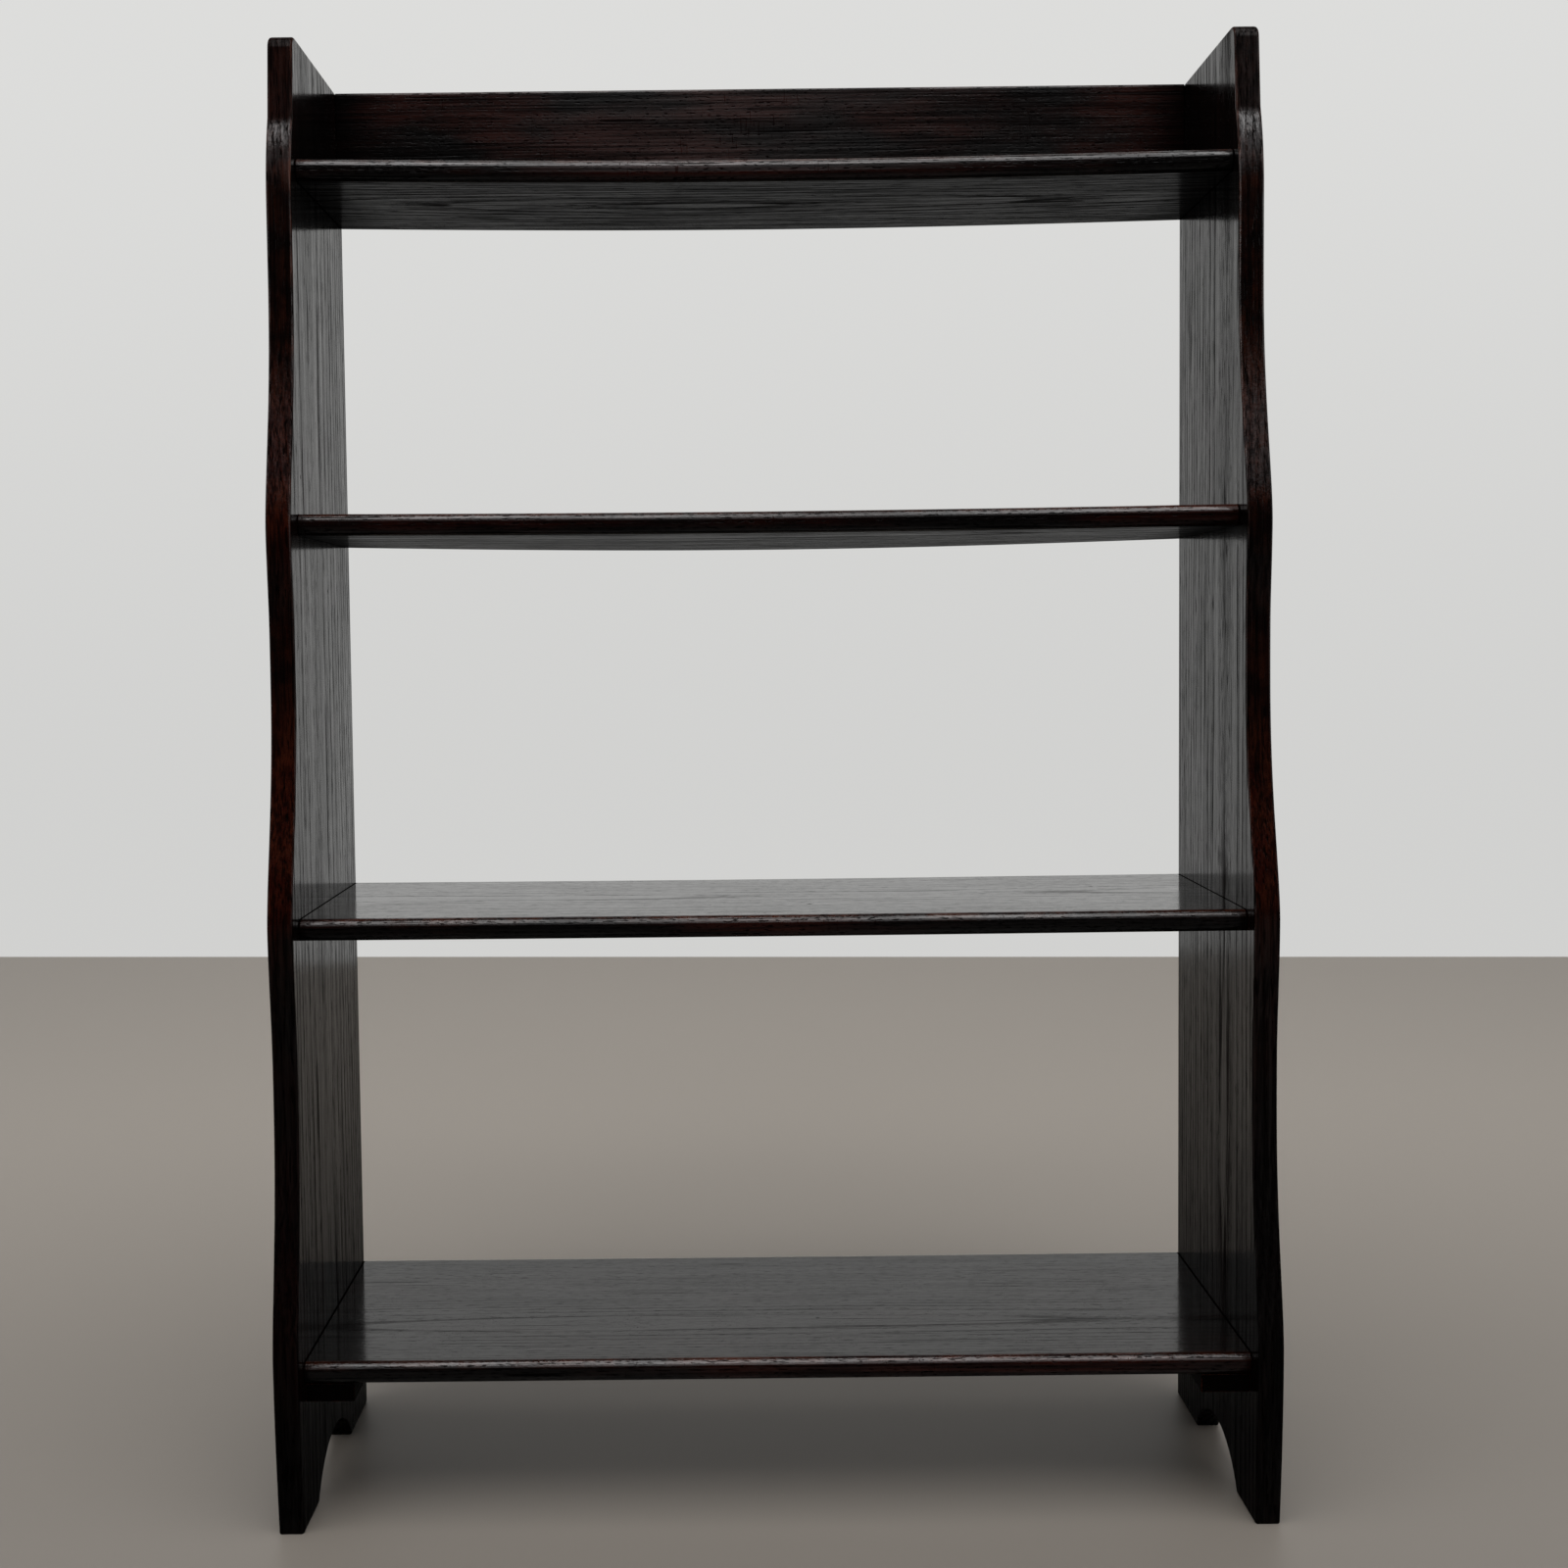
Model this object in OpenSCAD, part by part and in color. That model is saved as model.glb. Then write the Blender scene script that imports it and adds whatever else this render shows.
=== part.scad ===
// Open oak bookcase: two shaped sides, four housed shelves, a low rail along
// the back of the top and a bearer under each end of the bottom shelf. The
// front edge of each side steps back in a wave, one bulge for each shelf, and
// each side stands on two feet under a low arch.
// Millimetres. X runs to the right, Y to the back and Z up. The origin is
// the middle of the outline on the floor.

/* [Overall] */
// Width over both sides
body_w = 750; // [500:1:900]
// Depth of the sides at their foremost, the bottom shelf's bulge
body_depth = 231.6; // [225:0.1:260]
// Thickness of each side board
side_t = 19; // [16:0.5:26]

/* [Shelves and bays] */
// Thickness of the shelves
shelf_t = 16.5; // [14:0.5:22]
// Radius of both arrises of a shelf's nose
nose_r = 6.5; // [1:0.5:6.5]
// Height of the bottom shelf's top face over the floor
bottom_shelf_up = 126; // [95:1:150]
// Clear height over the bottom shelf
bottom_bay_h = 316.5; // [270:0.5:380]
// Clear height over the third shelf
middle_bay_h = 289; // [245:0.5:350]
// Clear height over the second shelf
upper_bay_h = 253.5; // [230:0.5:320]
// Height of the sides and the back rail over the top shelf
rail_h = 92.5; // [70:0.5:140]

/* [Setback of the shelves] */
// Distance of the bottom shelf's nose behind the bulge of the sides
bottom_setback = 16.5; // [8:0.5:40]
// Distance of the third shelf's nose behind the bulge of the sides
third_setback = 19.5; // [8:0.5:40]
// Distance of the second shelf's nose behind the bulge of the sides
second_setback = 21; // [8:0.5:40]
// Distance of the top shelf's nose behind the shoulder of the sides
top_setback = 14.5; // [10:0.5:40]

/* [Side outline] */
// Distance that the front of the foot stands back at the floor
foot_back = 8.2; // [0:0.1:16]
// Depth of the side at the third shelf's bulge
third_bulge = 218.6; // [205:0.1:225]
// Depth of the side at the second shelf's bulge
second_bulge = 197.2; // [185:0.1:205]
// Distance that the cove over the bottom shelf is cut behind its bulge
bottom_hollow = 19.2; // [14:0.1:30]
// Distance that the cove over the third shelf is cut behind its bulge
third_hollow = 25.7; // [15:0.1:32]
// Distance that the cove over the second shelf is cut behind its bulge
second_hollow = 23.8; // [15:0.1:32]
// Height over which the edge falls back from a bulge into the cove above
fall_len = 210; // [150:1:225]
// Height over which the edge comes forward to the third shelf's bulge
third_rise = 110; // [60:1:130]
// Height over which the edge comes forward to the second shelf's bulge
second_rise = 80; // [60:1:95]
// Height of the bottom bulge's crest over its shelf's top face
bottom_crest_up = 9; // [-20:0.5:20]
// Height of the third bulge's crest over its shelf's top face
third_crest_up = -3.5; // [-20:0.5:20]
// Height of the second bulge's crest over its shelf's top face
second_crest_up = -12.5; // [-20:0.5:20]
// Distance from the top shelf's top face down to the start of the shoulder
shoulder_down = 35; // [20:1:45]
// Height of the rounded shoulder
shoulder_h = 64; // [50:1:70]
// Radius of the rounded shoulder
shoulder_r = 222; // [180:1:400]
// Distance that the top of the front edge leans back over the shoulder
top_back = 4.4; // [0:0.1:12]
// Radius of the front corner at the top
top_corner_r = 11; // [2:0.5:20]
// Radius of the back corner at the top
back_corner_r = 3; // [1:0.5:10]

/* [Foot arch] */
// Length of the back foot on the floor
back_foot_len = 62; // [45:0.5:75]
// Width of the arch at the floor
arch_w = 113.5; // [80:0.5:130]
// Height of the arch
arch_h = 33; // [20:0.5:45]

/* [Housings] */
// Depth of the housings for the shelves
housing_d = 6.5; // [4:0.5:9]
// Length of the shelf's nose in front of the housing
housing_stop = 15; // [10:0.5:25]
// Clearance all round in a joint
fit = 0.1; // [0.05:0.01:0.2]

/* [Bearers] */
// Width of the bearer under each end of the bottom shelf
bearer_w = 37; // [30:0.5:45]
// Thickness of a bearer
bearer_t = 14; // [12:0.5:18]
// Distance of a bearer's front end behind the shelf's nose
bearer_setback = 4; // [2:0.5:20]

/* [Back rail] */
// Thickness of the back rail
rail_t = 16.5; // [12:0.5:22]
// Radius of the rail's top arrises
rail_arris_r = 2; // [0.5:0.5:5]

/* [Fixings] */
// Diameter of the screw's shank
screw_d = 4.2; // [3.5:0.1:5]
// Length of a screw through a side
screw_len = 38; // [32:1:50]
// Length of a screw through a bearer
bearer_screw_len = 22; // [18:1:24]
// Diameter of the screw's head
screw_head_d = 8; // [7:0.1:9]
// Width of the slot in the screw's head
screw_slot_w = 1.1; // [0.8:0.1:1.4]
// Depth of the slot in the screw's head
screw_slot_h = 1; // [0.6:0.1:1.2]
// Diameter of the pellet over a screw
pellet_d = 9.5; // [9.3:0.1:12]
// Length of the pellet
pellet_len = 5; // [4:0.5:6]
// Distance of the back screws from the back edge
back_screw_in = 34; // [25:1:50]
// Distance of the front screws from the shelf's nose
front_screw_in = 46; // [35:1:60]
// Distance of the rail's screws from its top and bottom edges
rail_screw_in = 24; // [14:1:35]
// Distance of a bearer's screws from its ends
bearer_screw_in = 70; // [62:1:90]

/* [Hidden] */
$fn = 48;

// Colours of the stained oak, of the pellets' grain and of the screws
oak = [0.13, 0.075, 0.05];
end_oak = [0.09, 0.05, 0.035];
steel = [0.45, 0.44, 0.42];

// The back faces of all boards are in one plane
back_y = body_depth / 2;
inner_x = body_w / 2 - side_t;

// Top faces of the shelves, from the floor up, and the top of the sides
bottom_shelf_z = bottom_shelf_up;
third_shelf_z = bottom_shelf_z + bottom_bay_h + shelf_t;
second_shelf_z = third_shelf_z + middle_bay_h + shelf_t;
top_shelf_z = second_shelf_z + upper_bay_h + shelf_t;
shelf_z = [bottom_shelf_z, third_shelf_z, second_shelf_z, top_shelf_z];
body_h = top_shelf_z + rail_h;

// Crests of the wave from the floor up, the last one the start of the
// shoulder, and the coves between them
crest_z = [bottom_shelf_z + bottom_crest_up, third_shelf_z + third_crest_up,
           second_shelf_z + second_crest_up, top_shelf_z - shoulder_down];
shoulder_depth = second_bulge - second_hollow;
crest_depth = [body_depth, third_bulge, second_bulge, shoulder_depth];
cove_depth = [body_depth - bottom_hollow, third_bulge - third_hollow, shoulder_depth];
setback = [bottom_setback, third_setback, second_setback, top_setback];
shelf_depth = crest_depth - setback;

// There is no rise to the shoulder, which is as deep as the cove under it
rise_len = [third_rise, second_rise, second_rise];

// How the curves bend, and how many points they have
fall_crown = 1.5;
fall_tail = 3.25;
foot_bend = 1.7;
span_steps = 40;
foot_steps = 16;
shoulder_steps = 8;
corner_steps = 6;

// Share of a bulge that is left at part t of the way down into the cove
function fall(t) = pow(1 - pow(t, fall_crown), fall_tail);

// Share of a bulge that is reached at part t of the way out of the cove
function rise(t) = t * t * (3 - 2 * t);

// Depth of the front edge at height z, between crest i and the next
function wave_depth(i, z) =
    let (down = min(1, (z - crest_z[i]) / fall_len),
         up = max(0, 1 - (crest_z[i + 1] - z) / rise_len[i]))
    cove_depth[i]
        + (crest_depth[i] - cove_depth[i]) * fall(down)
        + (crest_depth[i + 1] - cove_depth[i]) * rise(up);

// Depth of the foot's front edge at height z, up to the lowest crest
function foot_edge(z) =
    body_depth - foot_back * pow(1 - z / crest_z[0], foot_bend);

// Depth of the rounded shoulder at height up over its start
function shoulder_edge(up) =
    shoulder_depth - shoulder_r + sqrt(shoulder_r * shoulder_r - up * up);

// Points [depth, height] of an arc from angle a to angle b
function arc(depth, z, r, a, b) =
    [for (i = [0 : corner_steps]) let (t = a + (b - a) * i / corner_steps)
        [depth + r * cos(t), z + r * sin(t)]];

foot_points = [for (i = [0 : foot_steps - 1])
    let (z = crest_z[0] * i / foot_steps) [foot_edge(z), z]];
wave_points = [for (i = [0 : 2], s = [0 : span_steps - 1])
    let (z = crest_z[i] + (crest_z[i + 1] - crest_z[i]) * s / span_steps) [wave_depth(i, z), z]];
shoulder_points = [for (s = [0 : shoulder_steps])
    let (up = shoulder_h * s / shoulder_steps) [shoulder_edge(up), crest_z[3] + up]];
top_depth = shoulder_edge(shoulder_h) - top_back;
top_points = concat(
    arc(top_depth - top_corner_r, body_h - top_corner_r, top_corner_r, 0, 90),
    arc(back_corner_r, body_h - back_corner_r, back_corner_r, 90, 180));
side_points = concat(foot_points, wave_points, shoulder_points, top_points, [[0, 0]]);

// Radius of the arch, whose centre is under the floor
arch_r = (arch_w * arch_w / 4 + arch_h * arch_h) / (2 * arch_h);
arch_depth = back_foot_len + arch_w / 2;

// The bearers lie against the bottom shelf and end flush with its back edge
bearer_len = shelf_depth[0] - bearer_setback;
bearer_x = inner_x - fit - bearer_w;
bearer_z = bottom_shelf_z - shelf_t - bearer_t;

// Countersink of the screw's head at 90 degrees
head_h = (screw_head_d - screw_d) / 2;
screw_tip_h = 6;

// Depth of the screws' heads in the sides, under their pellets
head_sunk = pellet_len + fit;

// Where the screws go: [depth, height], two to a shelf end, two to a rail end
shelf_screws = [for (i = [0 : 3], depth = [back_screw_in, shelf_depth[i] - front_screw_in])
    [depth, shelf_z[i] - shelf_t / 2]];
rail_screws = [for (z = [top_shelf_z + rail_screw_in, body_h - rail_screw_in]) [rail_t / 2, z]];
screw_places = concat(shelf_screws, rail_screws);

// Stands a drawing in [depth, height] upright and draws it out along X
module along_x(length) {
    translate([0, back_y, 0]) rotate([90, 0, 90]) linear_extrude(height = length)
        mirror([1, 0]) children();
}

// Places its children at every screw of the right side, pointing inwards
// along -X from the outer face
module at_right_screws() {
    for (place = screw_places)
        translate([body_w / 2, back_y - place[0], place[1]]) rotate([0, -90, 0]) children();
}

// Places its children at both screws of the right bearer, pointing upwards
// from its lower face
module at_bearer_screws() {
    for (depth = [bearer_screw_in, bearer_len - bearer_screw_in])
        translate([bearer_x + bearer_w / 2, back_y - depth, bearer_z]) children();
}

// Stopped housing for one shelf in the right side's inner face, open at the
// back. The shelf rests on its lower face.
module housing(i) {
    depth = shelf_depth[i] - housing_stop + fit;
    translate([inner_x - 1, back_y - depth, shelf_z[i] - shelf_t])
        cube([housing_d + fit + 1, depth + 1, shelf_t + fit]);
}

// Hole for a screw through a board of thickness board_t: a bore at the face
// that lets the head in by sunk, a countersink, and the hole for the shank
module screw_hole(bore_d, sunk, board_t) {
    translate([0, 0, -1]) cylinder(d = bore_d + 2 * fit, h = 1 + sunk);
    translate([0, 0, sunk])
        cylinder(d1 = screw_head_d + 2 * fit, d2 = screw_d + 2 * fit, h = head_h);
    cylinder(d = screw_d + 2 * fit, h = board_t + 1);
}

// Right side board, with its waved front edge, arch, housings and holes
module side() {
    difference() {
        translate([inner_x, 0, 0]) along_x(side_t) polygon(side_points);
        translate([inner_x - 1, back_y - arch_depth, arch_h - arch_r]) rotate([0, 90, 0])
            cylinder(r = arch_r, h = side_t + 2, $fn = 96);
        for (i = [0 : 3]) housing(i);
        at_right_screws() screw_hole(pellet_d, head_sunk, side_t);
    }
}

// Right bearer, a flat strip against the side and under the bottom shelf
module bearer() {
    difference() {
        translate([bearer_x, back_y - bearer_len, bearer_z])
            cube([bearer_w, bearer_len, bearer_t]);
        at_bearer_screws() screw_hole(screw_head_d, fit, bearer_t);
    }
}

// Hole that a screw cuts in the wood, from the face of the board over it to
// just past its tip
module pilot_hole(tip) {
    cylinder(d = screw_d + 2 * fit, h = tip + 1);
}

// All holes in the shelves and the rail
module pilot_holes() {
    for (turn = [0, 1]) mirror([turn, 0, 0]) {
        at_right_screws() pilot_hole(head_sunk + screw_len);
        at_bearer_screws() pilot_hole(fit + bearer_screw_len);
    }
}

// End view of a shelf with its rounded nose, from the back face forwards
module shelf_section(depth) {
    square([depth - nose_r, shelf_t]);
    translate([0, nose_r]) square([depth, shelf_t - 2 * nose_r]);
    for (z = [nose_r, shelf_t - nose_r]) translate([depth - nose_r, z]) circle(nose_r);
}

// Shelf i: its ends are let into the sides, and its nose stops against them
module shelf(i) {
    nose_w = 2 * (inner_x - fit);
    tongue_w = 2 * (inner_x + housing_d);
    tongue_depth = shelf_depth[i] - housing_stop;
    difference() {
        translate([0, 0, shelf_z[i] - shelf_t]) union() {
            translate([-nose_w / 2, 0, 0]) along_x(nose_w) shelf_section(shelf_depth[i]);
            translate([-tongue_w / 2, back_y - tongue_depth, 0])
                cube([tongue_w, tongue_depth, shelf_t]);
        }
        pilot_holes();
    }
}

// End view of the back rail, with its two eased top arrises
module rail_section() {
    square([rail_t, rail_h - rail_arris_r]);
    translate([rail_arris_r, 0]) square([rail_t - 2 * rail_arris_r, rail_h]);
    for (depth = [rail_arris_r, rail_t - rail_arris_r])
        translate([depth, rail_h - rail_arris_r]) circle(rail_arris_r);
}

// Slotted countersunk screw, head at the origin, pointing along +Z
module screw(length) {
    difference() {
        rotate_extrude() polygon([
            [0, 0], [screw_head_d / 2, 0], [screw_d / 2, head_h],
            [screw_d / 2, length - screw_tip_h], [0, length]]);
        translate([-screw_head_d, -screw_slot_w / 2, -1])
            cube([2 * screw_head_d, screw_slot_w, 1 + screw_slot_h]);
    }
}

module left_side() { color(oak) mirror([1, 0, 0]) side(); }
module right_side() { color(oak) side(); }
module bottom_shelf() { color(oak) shelf(0); }
module third_shelf() { color(oak) shelf(1); }
module second_shelf() { color(oak) shelf(2); }
module top_shelf() { color(oak) shelf(3); }

module left_bearer() { color(oak) mirror([1, 0, 0]) bearer(); }
module right_bearer() { color(oak) bearer(); }

// Rail between the sides, on the back of the top shelf
module back_rail() {
    rail_w = 2 * (inner_x - fit);
    color(oak) difference() {
        translate([-rail_w / 2, 0, top_shelf_z]) along_x(rail_w) rail_section();
        pilot_holes();
    }
}

// Steel screws through the sides into the shelves and the rail
module side_screws() {
    color(steel) for (turn = [0, 1]) mirror([turn, 0, 0])
        at_right_screws() translate([0, 0, head_sunk]) screw(screw_len);
}

// Oak pellets glued in flush over the screws
module screw_pellets() {
    color(end_oak) for (turn = [0, 1]) mirror([turn, 0, 0])
        at_right_screws() cylinder(d = pellet_d, h = pellet_len);
}

// Steel screws up through the bearers into the bottom shelf
module bearer_screws() {
    color(steel) for (turn = [0, 1]) mirror([turn, 0, 0])
        at_bearer_screws() translate([0, 0, fit]) screw(bearer_screw_len);
}

left_side();
right_side();
top_shelf();
second_shelf();
third_shelf();
bottom_shelf();
back_rail();
left_bearer();
right_bearer();
side_screws();
screw_pellets();
bearer_screws();
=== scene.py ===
from math import pi, radians, sin

import bmesh
import bpy
from mathutils import Matrix, Vector


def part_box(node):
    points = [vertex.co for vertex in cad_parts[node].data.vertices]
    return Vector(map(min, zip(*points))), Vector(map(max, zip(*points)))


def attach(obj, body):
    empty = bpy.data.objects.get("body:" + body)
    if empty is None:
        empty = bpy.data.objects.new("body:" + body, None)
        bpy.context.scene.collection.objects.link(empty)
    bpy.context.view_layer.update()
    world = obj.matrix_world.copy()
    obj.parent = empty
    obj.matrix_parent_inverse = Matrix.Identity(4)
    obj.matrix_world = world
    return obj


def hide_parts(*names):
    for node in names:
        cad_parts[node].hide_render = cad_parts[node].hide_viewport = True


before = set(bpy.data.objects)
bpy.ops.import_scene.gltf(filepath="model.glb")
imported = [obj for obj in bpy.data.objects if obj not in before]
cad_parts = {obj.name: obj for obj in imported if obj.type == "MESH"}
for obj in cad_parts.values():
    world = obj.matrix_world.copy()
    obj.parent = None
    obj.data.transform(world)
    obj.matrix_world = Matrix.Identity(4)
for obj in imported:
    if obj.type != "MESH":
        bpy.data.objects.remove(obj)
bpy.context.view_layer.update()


# Side boards. Two flat-sawn oak boards, 19 mm thick with the grain upright,
# sawn to the waved outline and housed for the shelves. All the outer arrises
# are eased by hand, and the boards are stained nearly black and polished.

side_inner_x, side_outer_x = 0.356, 0.375
side_arris = 0.0020
side_ring_w = 0.0052
# Painted shade: the sides' film thins to this share at the floor, which darkens their lower
# faces.
side_floor_polish = 0.3
shoulder_z, horn_foot_z = 1.030, 1.060
# Painted shade: above the horn's foot, the front faces of the horns are darkened towards the
# pore stain and lose their film.
horn_shade = 0.5
# Painted shade: the rubbed brown of the front edges is gone below the first height and comes in
# over the second above it, so they darken towards the floor.
floor_shade_z, floor_shade_rise = 0.30, 0.20
# Painted light: the tilt term browns the front edges more where they face up towards the light
# above; the rest is wear from hands.
shoulder_rub, upright_rub, light_by_tilt = 0.7, 0.6, 4.0
least_rub, most_rub = 0.1, 1.4
arris_low_z, arris_high_z = 0.12, 1.0
front_normal_y, worn_normal_y = -0.3, -0.2
merge_dist = 2e-6
flat_face = 1e-5
square_on = 1e-4
flat_angle = radians(0.2)
corner_angle = radians(30)
crisp_angle = radians(40)
face_weight = 100


def board_mesh(node_name):
    """The solid of a CAD board with its doubles merged and its flat faces whole."""
    board = bmesh.new()
    board.from_mesh(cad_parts[node_name].data)
    bmesh.ops.remove_doubles(board, verts=board.verts, dist=merge_dist)
    bmesh.ops.dissolve_limit(
        board, angle_limit=flat_angle, use_dissolve_boundaries=False,
        verts=board.verts, edges=board.edges, delimit=set())
    return board


def ease(board, edges, width, steps=3):
    """Rounds the arrises over and marks the middle of each as rubbed."""
    marks = board.verts.layers.float.get("arris") or board.verts.layers.float.new("arris")
    made = bmesh.ops.bevel(
        board, geom=edges, offset=width, offset_type="OFFSET", affect="EDGES",
        segments=steps, profile=0.5, material=-1, clamp_overlap=True)
    strip = set(made["faces"])
    for vert in made["verts"]:
        if vert.is_valid and all(face in strip for face in vert.link_faces):
            vert[marks] = 1.0


def link_object(name, data):
    """A new object at the origin, in the scene."""
    made = bpy.data.objects.new(name, data)
    bpy.context.scene.collection.objects.link(made)
    return made


def mesh_object(name, shape, materials):
    """A new object from a bmesh, which is freed, with its material slots."""
    mesh = bpy.data.meshes.new(name)
    shape.to_mesh(mesh)
    shape.free()
    for material in materials:
        mesh.materials.append(material)
    return link_object(name, mesh)


def finish_board(board, name, node_name, materials):
    """Makes the board an object that stands for its CAD node."""
    bmesh.ops.recalc_face_normals(board, faces=board.faces)
    for face in board.faces:
        face.smooth = True
    for edge in board.edges:
        edge.smooth = edge.calc_face_angle(0.0) < crisp_angle
    piece = mesh_object(name, board, materials)
    weighted = piece.modifiers.new("flat_faces", "WEIGHTED_NORMAL")
    weighted.mode = "FACE_AREA_WITH_ANGLE"
    weighted.weight = face_weight
    weighted.keep_sharp = True
    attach(piece, "root")
    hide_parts(node_name)


def feed(tree, node, inputs):
    """Links or sets the inputs of a node, by their names or numbers."""
    for socket, value in inputs.items():
        if isinstance(value, bpy.types.NodeSocket):
            tree.links.new(value, node.inputs[socket])
        else:
            node.inputs[socket].default_value = value


def add(tree, kind, inputs=None, **settings):
    """A new node with its settings, and the values or links of its inputs."""
    made = tree.nodes.new("ShaderNode" + kind)
    for setting, value in settings.items():
        setattr(made, setting, value)
    feed(tree, made, inputs or {})
    return made


def calc(tree, operation, a, b=0.0, c=0.0):
    """The result of one step of arithmetic."""
    return add(tree, "Math", {0: a, 1: b, 2: c}, operation=operation).outputs[0]


def vector_calc(tree, operation, a, b):
    """The result of one step of vector arithmetic, where SCALE takes a number."""
    second = 3 if operation == "SCALE" else 1
    return add(tree, "VectorMath", {0: a, second: b}, operation=operation).outputs[0]


def ramp(tree, value, low, high, start=0.0, end=1.0):
    """Goes smoothly from start to end while the value goes from low to high."""
    made = add(tree, "MapRange", {0: value, 1: low, 2: high, 3: start, 4: end},
               interpolation_type="SMOOTHSTEP")
    return made.outputs[0]


def blend(tree, share, first, second):
    """The first colour where the share is 0, and the second where it is 1."""
    made = add(tree, "Mix", {0: share, 6: first, 7: second}, data_type="RGBA")
    return made.outputs[2]


def noise_at(tree, where, waves, detail=2.0, rough=0.5, turn=(0.0, 0.0, 0.0), output="Fac"):
    """Noise round 0.5, with so many waves per metre along X, Y and Z."""
    laid = add(tree, "Mapping", {0: where, 2: turn, 3: waves}).outputs[0]
    made = add(tree, "TexNoise", {"Vector": laid, "Scale": 1.0, "Detail": detail,
                                  "Roughness": rough})
    return made.outputs[output]


def effect(name, takes, gives):
    """An empty shader group, with the outputs of its first node and its last node."""
    tree = bpy.data.node_groups.new(name, "ShaderNodeTree")
    for socket, start in takes.items():
        kind = "NodeSocketVector" if start is None else "NodeSocketFloat"
        made = tree.interface.new_socket(name=socket, in_out="INPUT", socket_type=kind)
        if start is not None:
            made.default_value = start
    for socket in gives:
        tree.interface.new_socket(name=socket, in_out="OUTPUT", socket_type="NodeSocketFloat")
    return tree, tree.nodes.new("NodeGroupInput").outputs, tree.nodes.new("NodeGroupOutput")


def oak_figure():
    """Growth rings round a heart on the Z axis, and the open pores along them."""
    tree, given, last = effect(
        "oak_figure",
        {"Vector": None, "Ring width": 0.0026, "Wander": 0.010, "Pore length": 0.020},
        ["Rings", "Lines", "Pores", "Streaks", "Cloud"])
    where = given["Vector"]
    drift = noise_at(tree, where, (5.0, 5.0, 1.6), output="Color")
    drift = vector_calc(tree, "SUBTRACT", drift, (0.5, 0.5, 0.5))
    bent = vector_calc(tree, "ADD", where, vector_calc(tree, "SCALE", drift, given["Wander"]))
    part = add(tree, "SeparateXYZ", {0: bent}).outputs
    squares = [calc(tree, "POWER", part[axis], 2.0) for axis in (0, 1)]
    from_heart = calc(tree, "SQRT", calc(tree, "ADD", *squares))
    ring = calc(tree, "FRACT", calc(tree, "DIVIDE", from_heart, given["Ring width"]))

    def band(rise, top, fall, foot):
        """1 over a part of each ring, from its rise to its foot, with soft ends."""
        return calc(tree, "MULTIPLY", ramp(tree, ring, rise, top),
                    ramp(tree, ring, fall, foot, start=1.0, end=0.0))

    early = band(0.0, 0.14, 0.30, 0.75)
    line = band(0.0, 0.06, 0.12, 0.30)
    broken = ramp(tree, noise_at(tree, where, (95.0, 95.0, 9.0)), 0.40, 0.58)

    along = calc(tree, "DIVIDE", 1.0, given["Pore length"])
    waves = add(tree, "CombineXYZ", {0: 820.0, 1: 820.0, 2: along}).outputs[0]
    vessels = ramp(tree, noise_at(tree, where, waves, detail=1.0), 0.55, 0.63)
    vessels = calc(tree, "MULTIPLY", vessels, calc(tree, "MULTIPLY_ADD", early, 0.65, 0.35))
    fine = ramp(tree, noise_at(tree, where, (1900.0, 1900.0, 90.0), detail=1.0), 0.58, 0.70)
    checks = ramp(tree, noise_at(tree, bent, (420.0, 420.0, 8.0), detail=0.0), 0.735, 0.775)
    pores = calc(tree, "MAXIMUM", vessels, calc(tree, "MULTIPLY", fine, 0.35))

    broad = noise_at(tree, where, (230.0, 230.0, 4.5), rough=0.6)
    narrow = noise_at(tree, where, (780.0, 780.0, 13.0), detail=1.0)
    feed(tree, last, {
        "Rings": early,
        "Lines": calc(tree, "MULTIPLY", line, broken),
        "Pores": calc(tree, "MAXIMUM", pores, checks),
        "Streaks": calc(tree, "MULTIPLY_ADD", narrow, 0.5, calc(tree, "MULTIPLY", broad, 0.5)),
        "Cloud": noise_at(tree, where, (14.0, 14.0, 5.0), detail=3.0, rough=0.55)})
    return tree


def hand_wear():
    """Rubbed arrises, small dents and fine scratches from years of use."""
    tree, given, last = effect("hand_wear", {"Vector": None, "Worn": 0.0},
                               ["Rubbed", "Nibbles", "Dents", "Scratches"])
    where, worn_and_lit = given["Vector"], given["Worn"]
    patches = noise_at(tree, where, (38.0, 38.0, 38.0), detail=4.0, rough=0.65)
    chips = noise_at(tree, where, (420.0, 420.0, 420.0), detail=3.0, rough=0.6)
    cells = add(tree, "TexVoronoi", {"Vector": where, "Scale": 26.0, "Randomness": 1.0}).outputs
    spots = ramp(tree, cells["Distance"], 0.03, 0.075, start=1.0, end=0.0)
    chosen = add(tree, "SeparateColor", {0: cells["Color"]}).outputs[0]
    lines = noise_at(tree, where, (900.0, 900.0, 60.0), detail=0.0, turn=(0.35, 0.5, 0.7))
    few = noise_at(tree, where, (17.0, 17.0, 17.0), detail=1.0)
    feed(tree, last, {
        "Rubbed": calc(tree, "MULTIPLY", worn_and_lit, ramp(tree, patches, 0.38, 0.62)),
        "Nibbles": calc(tree, "MULTIPLY", worn_and_lit, chips),
        "Dents": calc(tree, "MULTIPLY", spots, ramp(tree, chosen, 0.72, 0.78)),
        "Scratches": calc(tree, "MULTIPLY", ramp(tree, lines, 0.735, 0.775),
                          ramp(tree, few, 0.52, 0.60))})
    return tree


oak_figure_group = oak_figure()
hand_wear_group = hand_wear()

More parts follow.
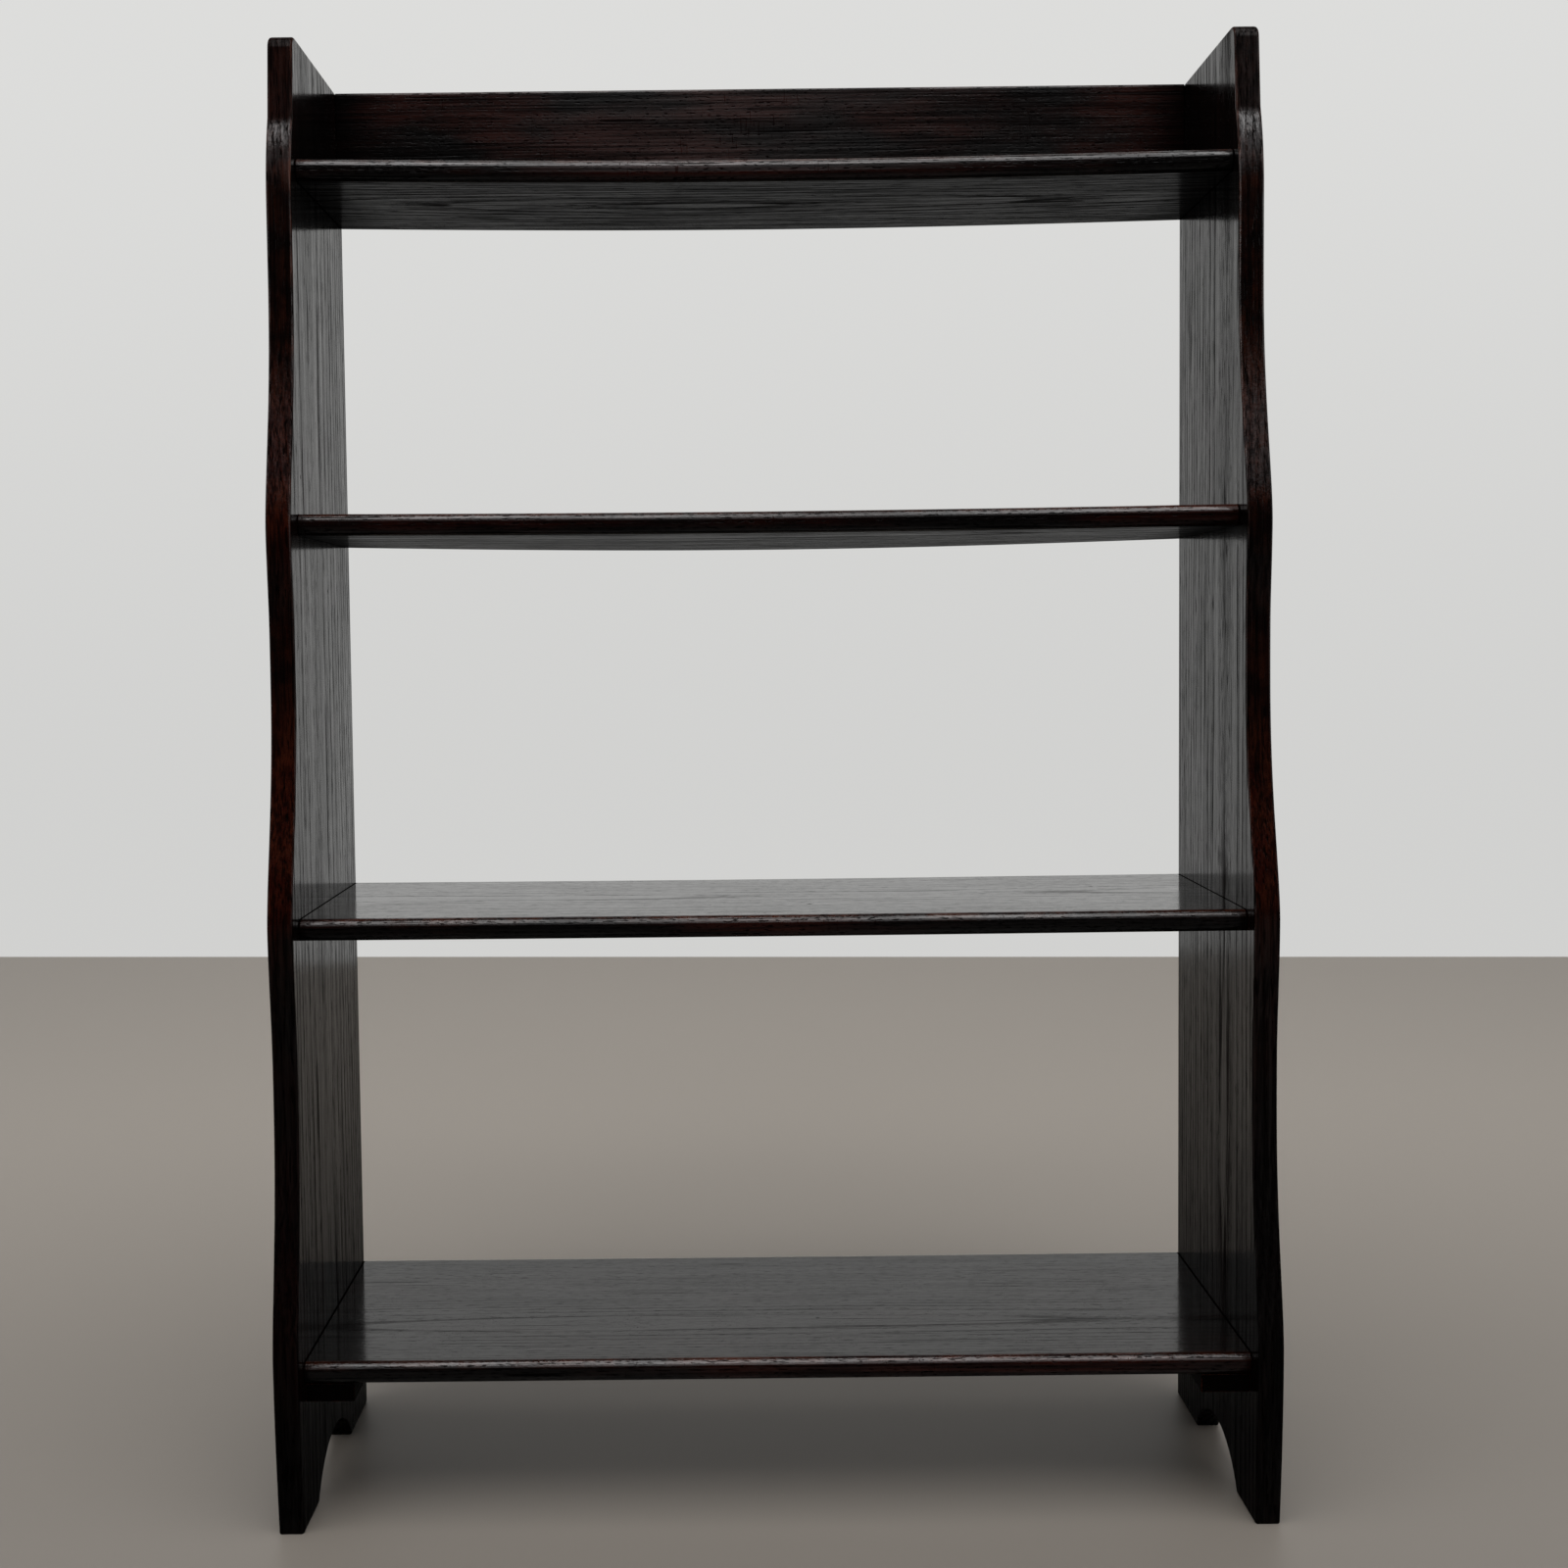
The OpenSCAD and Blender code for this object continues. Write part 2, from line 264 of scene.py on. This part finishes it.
dark_stain = (0.0012, 0.0006, 0.0005, 1.0)
warm_stain = (0.0150, 0.0021, 0.0009, 1.0)
pore_stain = (0.0006, 0.0004, 0.0004, 1.0)
rubbed_brown = (0.0700, 0.0170, 0.0065, 1.0)
touched_warmth, arris_warmth = 0.15, 0.25
rubbed_share, streak_share, pore_share = 0.7, 0.75, 0.8
handled_wear = 0.25
even_rough, streak_rough, seam_rough = 0.58, 0.78, 0.95
stain_specular = 0.004
bare_seam = 0.7
full_polish_z = 0.55
grain_depth, grain_strength = 0.00010, 0.5


def new_material(name):
    """A material with its tree, its shader, and the place on the object."""
    material = bpy.data.materials.new(name)
    material.use_nodes = True
    tree = material.node_tree
    return material, tree, tree.nodes["Principled BSDF"], add(tree, "TexCoord").outputs["Object"]


def mark(tree, layer):
    """The share that the board's vertices carry in this layer."""
    return add(tree, "Attribute", attribute_name=layer).outputs["Fac"]


def stained_oak(name, heart, turn=(0.0, 0.0, 0.0), polish=1.0, gloss=0.12, film_ior=1.5,
                streaky=1.0, lines=0.4, open_pores=1.0, pore_length=0.020, ring_width=0.0026,
                warm=0.25, floor_polish=1.0, corner_shade=0.0):
    """Oak stained nearly black, under a film of polish that leaves the pores
    open. The heart of the tree is the line through that point along Z, once
    the turn has laid the grain along Z. The film can thin out to the floor, as painted shade on
    the lower faces, and painted shade can darken the board and take its film off towards its
    ends, next to the sides."""
    material, tree, shader, where = new_material(name)
    grain_way = add(tree, "Mapping", {0: where, 1: heart, 2: turn}).outputs[0]
    oak = add(tree, "Group", node_tree=oak_figure_group, inputs={
        "Vector": grain_way, "Ring width": ring_width, "Pore length": pore_length}).outputs
    arris, handled_and_lit, seam_and_shade = (mark(tree, layer) for layer in ("arris", "handled_and_lit", "seam_and_shade"))
    # The rubbed mark of the side boards' front edges is partly painted light where they face up
    # and painted shade near the floor.
    touched_and_lit = calc(tree, "MAXIMUM", arris, handled_and_lit)
    worn_and_lit = calc(tree, "MAXIMUM", arris, calc(tree, "MULTIPLY", handled_and_lit, handled_wear))
    wear = add(tree, "Group", node_tree=hand_wear_group, inputs={
        "Vector": where, "Worn": worn_and_lit}).outputs

    warmth = calc(tree, "MULTIPLY_ADD", touched_and_lit, 1.0 - warm, warm)
    warmth = calc(tree, "MULTIPLY", warmth, ramp(tree, oak["Cloud"], 0.42, 0.68))
    for touch, share in ((touched_and_lit, touched_warmth), (arris, arris_warmth)):
        warmth = calc(tree, "MULTIPLY_ADD", touch, share, warmth)
    colour = blend(tree, warmth, dark_stain, warm_stain)
    rubbed = calc(tree, "MULTIPLY", wear["Rubbed"], rubbed_share)
    colour = blend(tree, rubbed, colour, rubbed_brown)
    # The seam mark darkens the colour, roughens it and takes the film off: a dark joint line at
    # the shelf ends that is partly painted shadow, and painted shade on the horns of the sides.
    for dark_share in (ramp(tree, oak["Streaks"], 0.43, 0.60, end=streak_share),
                       calc(tree, "MULTIPLY", oak["Pores"], pore_share), seam_and_shade):
        colour = blend(tree, dark_share, colour, pore_stain)
    rough = ramp(tree, oak["Streaks"], 0.35, 0.65, start=even_rough, end=streak_rough)
    rough = calc(tree, "MAXIMUM", rough, calc(tree, "MULTIPLY", seam_and_shade, seam_rough))

    film_losses = [(oak["Pores"], 0.88 * open_pores), (oak["Rings"], 0.22 * streaky),
                   (oak["Lines"], lines), (handled_and_lit, 0.35), (wear["Dents"], 0.6),
                   (wear["Scratches"], 0.7)]
    # Painted shade: darkens the colour and takes the film off towards the ends of the board,
    # next to the sides.
    if corner_shade > 0.0:
        end_shade = ramp(tree, mark(tree, "corner"), 0.0, 1.0, end=corner_shade)
        colour = blend(tree, end_shade, colour, pore_stain)
        film_losses.append((end_shade, 1.0))
    streak_polish = (1.0 - 0.45 * streaky) * polish
    film = ramp(tree, oak["Streaks"], 0.40, 0.62, start=polish, end=streak_polish)
    for mask, share in film_losses:
        film = calc(tree, "MULTIPLY", film, calc(tree, "MULTIPLY_ADD", mask, -share, 1.0))
    film = calc(tree, "MULTIPLY", film, ramp(tree, seam_and_shade, 0.0, bare_seam, start=1.0, end=0.0))
    # Painted shade: the film thins towards the floor, so that the lower faces reflect less.
    if floor_polish < 1.0:
        up = add(tree, "SeparateXYZ", {0: where}).outputs[2]
        thinned = ramp(tree, up, 0.0, full_polish_z, start=floor_polish)
        film = calc(tree, "MULTIPLY", film, thinned)

    relief = 0.0
    for mask, rise in ((oak["Pores"], -open_pores), (oak["Rings"], -0.2 * streaky),
                       (oak["Streaks"], 0.3 * streaky), (wear["Nibbles"], -7.0),
                       (wear["Dents"], -2.2), (wear["Scratches"], -0.7)):
        relief = calc(tree, "MULTIPLY_ADD", mask, rise, relief)
    bump = add(tree, "Bump", {"Strength": grain_strength, "Distance": grain_depth,
                              "Height": relief})
    feed(tree, shader, {
        "Base Color": colour, "Roughness": rough, "Specular IOR Level": stain_specular,
        "Coat Weight": film, "Coat Roughness": gloss, "Coat IOR": film_ior,
        "Normal": bump.outputs[0], "Coat Normal": bump.outputs[0]})
    return material


def held(value, low, high):
    """The value, or the nearer limit where it lies outside them."""
    return min(high, max(low, value))


def rubbing_and_light(height, tilt):
    """How much the front edge is rubbed and painted: most where it faces up over a swell, as
    painted light from above, and least near the floor, as painted shade; the rest is wear from
    hands."""
    if height > shoulder_z:
        return shoulder_rub
    clear_of_floor_shade = held((height - floor_shade_z) / floor_shade_rise, 0.0, 1.0)
    return clear_of_floor_shade * held(upright_rub + light_by_tilt * tilt, least_rub, most_rub)


def side_board(node_name, name, outside, polish, edge_polish, heart):
    """A side board, with -1 for the outside of the left one and 1 for the right."""
    board = board_mesh(node_name)
    inner, outer = outside * side_inner_x, outside * side_outer_x

    def through(face):
        """True for the faces that run through the whole thickness."""
        xs = [vert.co.x for vert in face.verts]
        return (abs(min(xs, key=abs) - inner) < flat_face
                and abs(max(xs, key=abs) - outer) < flat_face)

    def on_face(edge):
        """True for the edges that lie in the inner or the outer face."""
        xs = [vert.co.x for vert in edge.verts]
        return any(all(abs(x - plane) < flat_face for x in xs) for plane in (inner, outer))

    handled_and_lit = board.verts.layers.float.new("handled_and_lit")
    horn_shade_marks = board.verts.layers.float.new("seam_and_shade")
    for face in board.faces:
        if through(face) and face.normal.y < front_normal_y:
            for vert in face.verts:
                # Wear from hands, with painted light where the face tilts up and painted shade
                # near the floor.
                vert[handled_and_lit] = rubbing_and_light(vert.co.z, face.normal.z)
                # Painted shade: the horns' front faces are darkened and lose their film.
                vert[horn_shade_marks] = horn_shade if vert.co.z > horn_foot_z else 0.0
    outline = [edge for edge in board.edges
               if on_face(edge) and any(through(face) for face in edge.link_faces)
               and edge.calc_face_angle(0.0) > corner_angle]
    ease(board, outline, side_arris)
    for face in board.faces:
        face.material_index = 1 if face.normal.y < worn_normal_y else 0
        if abs(abs(face.normal.x) - 1.0) < square_on:
            for vert in face.verts:
                vert[handled_and_lit] = vert[horn_shade_marks] = 0.0
    # The arrises' rubbed colour is scaled by the cube of the height in metres, as painted shade
    # that darkens them towards the floor.
    arris = board.verts.layers.float.get("arris")
    for vert in board.verts:
        vert[arris] *= held(vert.co.z, arris_low_z, arris_high_z) ** 3
    faces_oak = stained_oak(
        "polished_oak_" + name, heart, polish=polish, streaky=0.8, lines=0.8, open_pores=0.8,
        ring_width=side_ring_w, floor_polish=side_floor_polish)
    edge_oak = stained_oak(
        "worn_oak_" + name, heart, polish=edge_polish, gloss=0.14, film_ior=1.6, streaky=1.5,
        lines=0.5, ring_width=side_ring_w, warm=0.2, floor_polish=side_floor_polish)
    finish_board(board, name, node_name, [faces_oak, edge_oak])


side_board("left_side", "left_board", outside=-1, polish=0.94, edge_polish=0.85,
           heart=(0.250, 0.010, 0.0))
side_board("right_side", "right_board", outside=1, polish=0.84, edge_polish=1.2,
           heart=(-0.262, 0.025, 0.7))


# Shelves. Four oak boards, 16.5 mm thick with the grain along them, let into
# the housings of the sides. Their noses are rounded, their tops polished and
# their undersides only stained, and years of books have bent them a little.

shelf_end_x = 0.3559
shelf_arris = 0.0007
square_angle = radians(60)
along_x = (0.0, radians(90), 0.0)
bend_step = 0.0178
# The seam at each shelf end is partly old polish and dirt in the joint and partly a painted
# shadow line.
seam_w = 0.0013
# Painted shade at the ends of the undersides and the rail reaches this far from the sides.
corner_w = 0.055
cut_dist = 1e-6
nose_r = 0.0065
nose_start, nose_rub = 0.05, 0.75
under_normal_z, top_normal_z = -0.9, 0.985


def sag(x, amount):
    """How far a board that bends by this amount in the middle bends at x, as
    one does that rests on its ends under an even load."""
    share = min(1.0, abs(x) / shelf_end_x)
    return amount * (1.0 - 1.2 * share ** 2 + 0.2 * share ** 4)


def cut_along(board):
    """Cuts the board across at even steps, so that it can bend, and close to its ends, where old
    polish and dirt have gathered in the seams, with a painted shadow line along the joint. It
    also marks how near each point lies to an end, for the painted shade that darkens some boards
    there."""
    steps = int(shelf_end_x / bend_step)
    cuts = [step * bend_step for step in range(-steps, steps + 1)]
    cuts += [end * (shelf_end_x + aside)
             for end in (-1, 1) for aside in (-seam_w, 0.0, seam_w / 2)]
    for cut in cuts:
        geometry = board.verts[:] + board.edges[:] + board.faces[:]
        bmesh.ops.bisect_plane(
            board, geom=geometry, dist=cut_dist, plane_co=(cut, 0, 0), plane_no=(1, 0, 0))
    seam_and_shade = board.verts.layers.float.new("seam_and_shade")
    corner = board.verts.layers.float.new("corner")
    for vert in board.verts:
        from_seam = abs(shelf_end_x - abs(vert.co.x))
        vert[seam_and_shade] = 1.0 if from_seam < flat_face else 0.0
        vert[corner] = max(0.0, 1.0 - from_seam / corner_w)


nose_oak = stained_oak("worn_oak_noses", (-0.6, 0.2, 0.0), along_x, gloss=0.16, film_ior=1.6,
                       lines=0.2, pore_length=0.006, warm=1.0)


def shelf_board(node_name, name, front_bend, back_bend, heart, polish=1.0):
    """A shelf with its back arrises eased and its nose marked as rubbed."""
    low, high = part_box(node_name)
    board = board_mesh(node_name)
    arrises = []
    for edge in board.edges:
        a, b = (vert.co for vert in edge.verts)
        at_back = min(a.y, b.y) > high.y - flat_face and abs(a.z - b.z) < flat_face
        if at_back and edge.calc_face_angle(0.0) > square_angle:
            arrises.append(edge)
    ease(board, arrises, shelf_arris, 2)
    cut_along(board)
    marks = board.verts.layers.float.get("arris")
    middle_z = (low.z + high.z) / 2
    for vert in board.verts:
        turned = (low.y + nose_r - vert.co.y) / nose_r
        if turned > nose_start and vert.co.z > middle_z:
            vert[marks] = max(vert[marks], nose_rub * sin(min(1.0, turned) * pi))
        depth_share = (vert.co.y - low.y) / (high.y - low.y)
        vert.co.z -= sag(vert.co.x, front_bend + (back_bend - front_bend) * depth_share)
    for face in board.faces:
        if face.normal.z < under_normal_z:
            face.material_index = 1
        elif face.normal.z < top_normal_z and face.calc_center_median().y < low.y + nose_r:
            face.material_index = 2
    top = stained_oak(
        "polished_oak_" + name, heart, along_x, polish=polish, gloss=0.10, film_ior=1.62,
        streaky=0.2, open_pores=0.45, pore_length=0.009)
    under = stained_oak(
        "stained_oak_" + name, heart, along_x, polish=0.31, gloss=0.16, streaky=1.7, lines=0.9,
        pore_length=0.012, corner_shade=0.7)
    finish_board(board, name, node_name, [top, under, nose_oak])


shelf_board("bottom_shelf", "bottom_board", front_bend=0.0001, back_bend=0.0004,
            heart=(-0.056, 0.03, 0.0), polish=0.86)
shelf_board("third_shelf", "third_board", front_bend=0.0005, back_bend=0.0008,
            heart=(-0.552, -0.02, 0.3), polish=1.08)
shelf_board("second_shelf", "second_board", front_bend=0.0016, back_bend=0.0056,
            heart=(-0.700, 0.02, 0.6))
shelf_board("top_shelf", "top_board", front_bend=0.0040, back_bend=0.0042,
            heart=(-0.920, -0.03, 0.9))


# Bearers. A flat oak strip under each end of the bottom shelf, against the
# side, with the grain along it. It is stained like the rest and hardly polished.

bearer_arris = 0.0008
longest_rim_edge = 0.010
along_y = (radians(90), 0.0, 0.0)


def bearer_strip(node_name, name, heart):
    """A bearer with its own arrises eased and the rims of its holes left crisp."""
    board = board_mesh(node_name)
    arrises = [edge for edge in board.edges
               if edge.calc_length() > longest_rim_edge
               and edge.calc_face_angle(0.0) > square_angle]
    ease(board, arrises, bearer_arris, 2)
    stained = stained_oak("stained_oak_" + name, heart, along_y, polish=0.1, gloss=0.2, warm=0.0)
    finish_board(board, name, node_name, [stained])


bearer_strip("left_bearer", "left_strip", heart=(0.42, 0.0, -0.05))
bearer_strip("right_bearer", "right_strip", heart=(-0.27, 0.3, -0.06))


# Back rail. One oak board on edge between the sides, standing on the back of
# the top shelf. Its top arrises are rounded and a little rubbed, and its foot
# follows the shelf's bend.

rail_arris = 0.002
rail_margin, rail_rub = 0.05, 0.3


def rail_board(node_name, name, bend, heart):
    """The rail with its rounded top marked as rubbed and its foot bent."""
    low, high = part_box(node_name)
    board = board_mesh(node_name)
    cut_along(board)
    marks = board.verts.layers.float.new("arris")
    for vert in board.verts:
        below_top = (high.z - vert.co.z) / rail_arris
        if rail_margin < below_top < 1.0 - rail_margin:
            vert[marks] = rail_rub
        if vert.co.z < low.z + rail_arris:
            vert.co.z -= sag(vert.co.x, bend)
    polished = stained_oak(
        "polished_oak_" + name, heart, along_x, gloss=0.22, streaky=1.6, lines=0.6,
        pore_length=0.005, warm=1.8, corner_shade=0.85)
    finish_board(board, name, node_name, [polished])


rail_board("back_rail", "rail_board", bend=0.0042, heart=(1.30, 0.16, 0.2))


# Pellets. Short oak plugs, glued in flush over the screw heads with their
# grain upright like that of the board, and stained with it.

def dress(node_name, material):
    """Gives a CAD node this material alone."""
    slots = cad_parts[node_name].data.materials
    slots.clear()
    slots.append(material)


pellet_oak = stained_oak("stained_oak_pellets", (0.0, 0.31, 0.4), polish=0.8, ring_width=0.0021)
dress("screw_pellets", pellet_oak)


# Screws. Slotted countersunk wood screws of drawn steel, turned and left
# bright, now dulled with brown specks. Those through the sides lie hidden
# under the pellets, and those through the bearers show their heads below.

bright_steel = (0.42, 0.41, 0.39, 1.0)
brown_specks = (0.10, 0.055, 0.032, 1.0)
turning_depth = 0.00005


def dull_steel():
    """Bright steel with the marks of turning round X, and duller brown specks."""
    material, tree, shader, where = new_material("dulled_steel")
    specks = noise_at(tree, where, (420.0, 420.0, 420.0), detail=4.0, rough=0.6)
    tarnish = ramp(tree, specks, 0.50, 0.68)
    turning = noise_at(tree, where, (2600.0, 90.0, 90.0), detail=1.0)
    relief = calc(tree, "MULTIPLY_ADD", tarnish, 0.6, turning)
    bump = add(tree, "Bump", {"Strength": 0.3, "Distance": turning_depth, "Height": relief})
    feed(tree, shader, {
        "Base Color": blend(tree, tarnish, bright_steel, brown_specks),
        "Metallic": ramp(tree, tarnish, 0.0, 1.0, start=1.0, end=0.35),
        "Roughness": ramp(tree, tarnish, 0.0, 1.0, start=0.32, end=0.75),
        "Normal": bump.outputs[0]})
    return material


screw_steel = dull_steel()
dress("side_screws", screw_steel)
dress("bearer_screws", screw_steel)


# Floor and backdrop. A pale floor, slightly glossy, that takes the shadow, with painted light
# that brightens it towards the wall and painted shade that darkens it in reflections towards the
# front, and a pale wall some way behind it, with painted light that brightens it upwards.

wall_left_y, wall_right_y = 2.73, 1.68
stage_half_w = 9.0
stage_h = 7.0
stage_front_y = -9.0
stage_gloss = {"Roughness": 0.5, "Specular IOR Level": 0.5}


def stage_sheet(name, corners, colour, fade, mirrored=None):
    """A flat sheet whose colour fades along one axis, as painted light. The fade gives the axis,
    the two places on it, and the levels there. The floor is lit, and mirrored
    gives the same along Y for the share of its colour that reflections show, as painted shade
    that darkens the floor's front in reflections.
    The backdrop, which has no such share, shows its colour unlit."""
    sheet = bmesh.new()
    sheet.faces.new([sheet.verts.new(corner) for corner in corners])
    material, tree, shader, where = new_material(name)
    part = add(tree, "SeparateXYZ", {0: where}).outputs
    path = add(tree, "LightPath").outputs
    axis, *levels = fade
    tone = vector_calc(tree, "SCALE", colour, ramp(tree, part[axis], *levels))
    if mirrored:
        share = calc(tree, "SUBTRACT", ramp(tree, part[1], *mirrored), 1.0)
        share = calc(tree, "MULTIPLY_ADD", path["Is Glossy Ray"], share, 1.0)
        tone = vector_calc(tree, "SCALE", tone, share)
    else:
        shown = calc(tree, "MAXIMUM", path["Is Camera Ray"], path["Is Glossy Ray"])
        shown = calc(tree, "MAXIMUM", shown, path["Is Transmission Ray"])
        unlit = add(tree, "Emission", {"Color": tone, "Strength": 1.0})
        mixed = add(tree, "MixShader", {0: shown, 1: shader.outputs[0], 2: unlit.outputs[0]})
        feed(tree, tree.nodes["Material Output"], {"Surface": mixed.outputs[0]})
    feed(tree, shader, {"Base Color": tone, **stage_gloss})
    mesh_object(name, sheet, [material])


# Painted light: the floor grows from 1.0 to 2.2 times its colour towards the wall. Painted
# shade: reflections show 0.12 of it at the front and 0.95 at the back.
stage_sheet("floor", [(-stage_half_w, stage_front_y, 0), (stage_half_w, stage_front_y, 0),
                      (stage_half_w, wall_right_y, 0), (-stage_half_w, wall_left_y, 0)],
            colour=(0.155, 0.138, 0.120), fade=(1, -0.6, 1.2, 1.0, 2.2),
            mirrored=(-0.25, 0.30, 0.12, 0.95))
# Painted light: the backdrop grows from 0.97 to 1.10 times its colour upwards.
stage_sheet("backdrop", [(-stage_half_w, wall_left_y, 0), (stage_half_w, wall_right_y, 0),
                         (stage_half_w, wall_right_y, stage_h),
                         (-stage_half_w, wall_left_y, stage_h)],
            colour=(0.66, 0.66, 0.65), fade=(2, 0.2, 2.2, 0.97, 1.10))


# Light. Soft boxes above, to the left and to the right in front, a dim one
# straight in front, and a plain room round them.

def soft_box(name, at, aim, width, height, level):
    """An area lamp that shows this level of white over its whole face."""
    lamp = bpy.data.lights.new(name, "AREA")
    lamp.shape = "RECTANGLE"
    lamp.size, lamp.size_y = width, height
    lamp.energy = level * pi * width * height
    holder = link_object(name, lamp)
    holder.location = at
    holder.rotation_euler = (Vector(aim) - Vector(at)).to_track_quat("-Z", "Y").to_euler()


soft_box("overhead", at=(0.0, -1.15, 2.90), aim=(0.0, -1.15, 0.0),
         width=2.6, height=2.4, level=3.5)
soft_box("key", at=(-2.7, -1.5, 2.3), aim=(0.0, 0.0, 0.6), width=1.6, height=1.6, level=2.0)
soft_box("fill", at=(2.7, -1.5, 2.2), aim=(0.0, 0.0, 0.6), width=1.6, height=1.6, level=1.5)
soft_box("front", at=(0.0, -3.0, 2.2), aim=(0.0, 0.0, 1.08), width=0.85, height=0.9, level=0.60)

room_pale = (0.60, 0.60, 0.60, 1.0)
room_dark = (0.007, 0.007, 0.007, 1.0)
upper_left, upper_right = (0.45, 0.45, 0.46, 1.0), (0.95, 0.95, 0.97, 1.0)
far_wall = (0.64, 0.64, 0.63, 1.0)


def room():
    """Pale all round, but dark behind the camera's place up to 20 degrees over
    the horizon, and paler on the right above that. The camera sees a plain
    wall where the backdrop ends."""
    world = bpy.data.worlds.new("room")
    bpy.context.scene.world = world
    world.use_nodes = True
    tree = world.node_tree
    way = add(tree, "SeparateXYZ", {0: add(tree, "TexCoord").outputs["Generated"]}).outputs
    front = ramp(tree, calc(tree, "MULTIPLY", way[1], -1.0), 0.35, 0.85)
    upper = blend(tree, ramp(tree, way[0], -0.25, 0.25), upper_left, upper_right)
    in_front = blend(tree, ramp(tree, way[2], 0.34, 0.52), room_dark, upper)
    lit = blend(tree, front, room_pale, in_front)
    path = add(tree, "LightPath").outputs
    seen = blend(tree, path["Is Camera Ray"], lit, far_wall)
    feed(tree, tree.nodes["Background"], {"Color": seen})


room()


# Camera. The photograph's place and lens, a little to the left of the middle
# and at three fifths of the height.

picture_w = 1600
focal = 1750.0
centre_x, centre_y = 744.07, 735.144
look_down, lean, roll = 0.0477, 0.0006, -0.011
eye = (-0.0304334, -1.36166, 0.666677)
# Right, down and ahead in the picture of a level camera that looks along Y.
level_view = Matrix(((1, 0, 0), (0, 0, -1), (0, 1, 0)))
camera_data = bpy.data.cameras.new("photo_camera")
camera_data.sensor_width = 36.0
camera_data.lens = focal / picture_w * camera_data.sensor_width
camera_data.shift_x = (picture_w / 2 - centre_x) / picture_w
camera_data.shift_y = (centre_y - picture_w / 2) / picture_w
camera = link_object("photo_camera", camera_data)
right, down, ahead = (Matrix.Rotation(roll, 3, "Z") @ Matrix.Rotation(look_down, 3, "X")
                      @ Matrix.Rotation(lean, 3, "Y") @ level_view)
turned = Matrix((right, -down, -ahead)).transposed()
camera.matrix_world = Matrix.Translation(eye) @ turned.to_4x4()
bpy.context.scene.camera = camera
bpy.context.scene.view_settings.view_transform = "Standard"
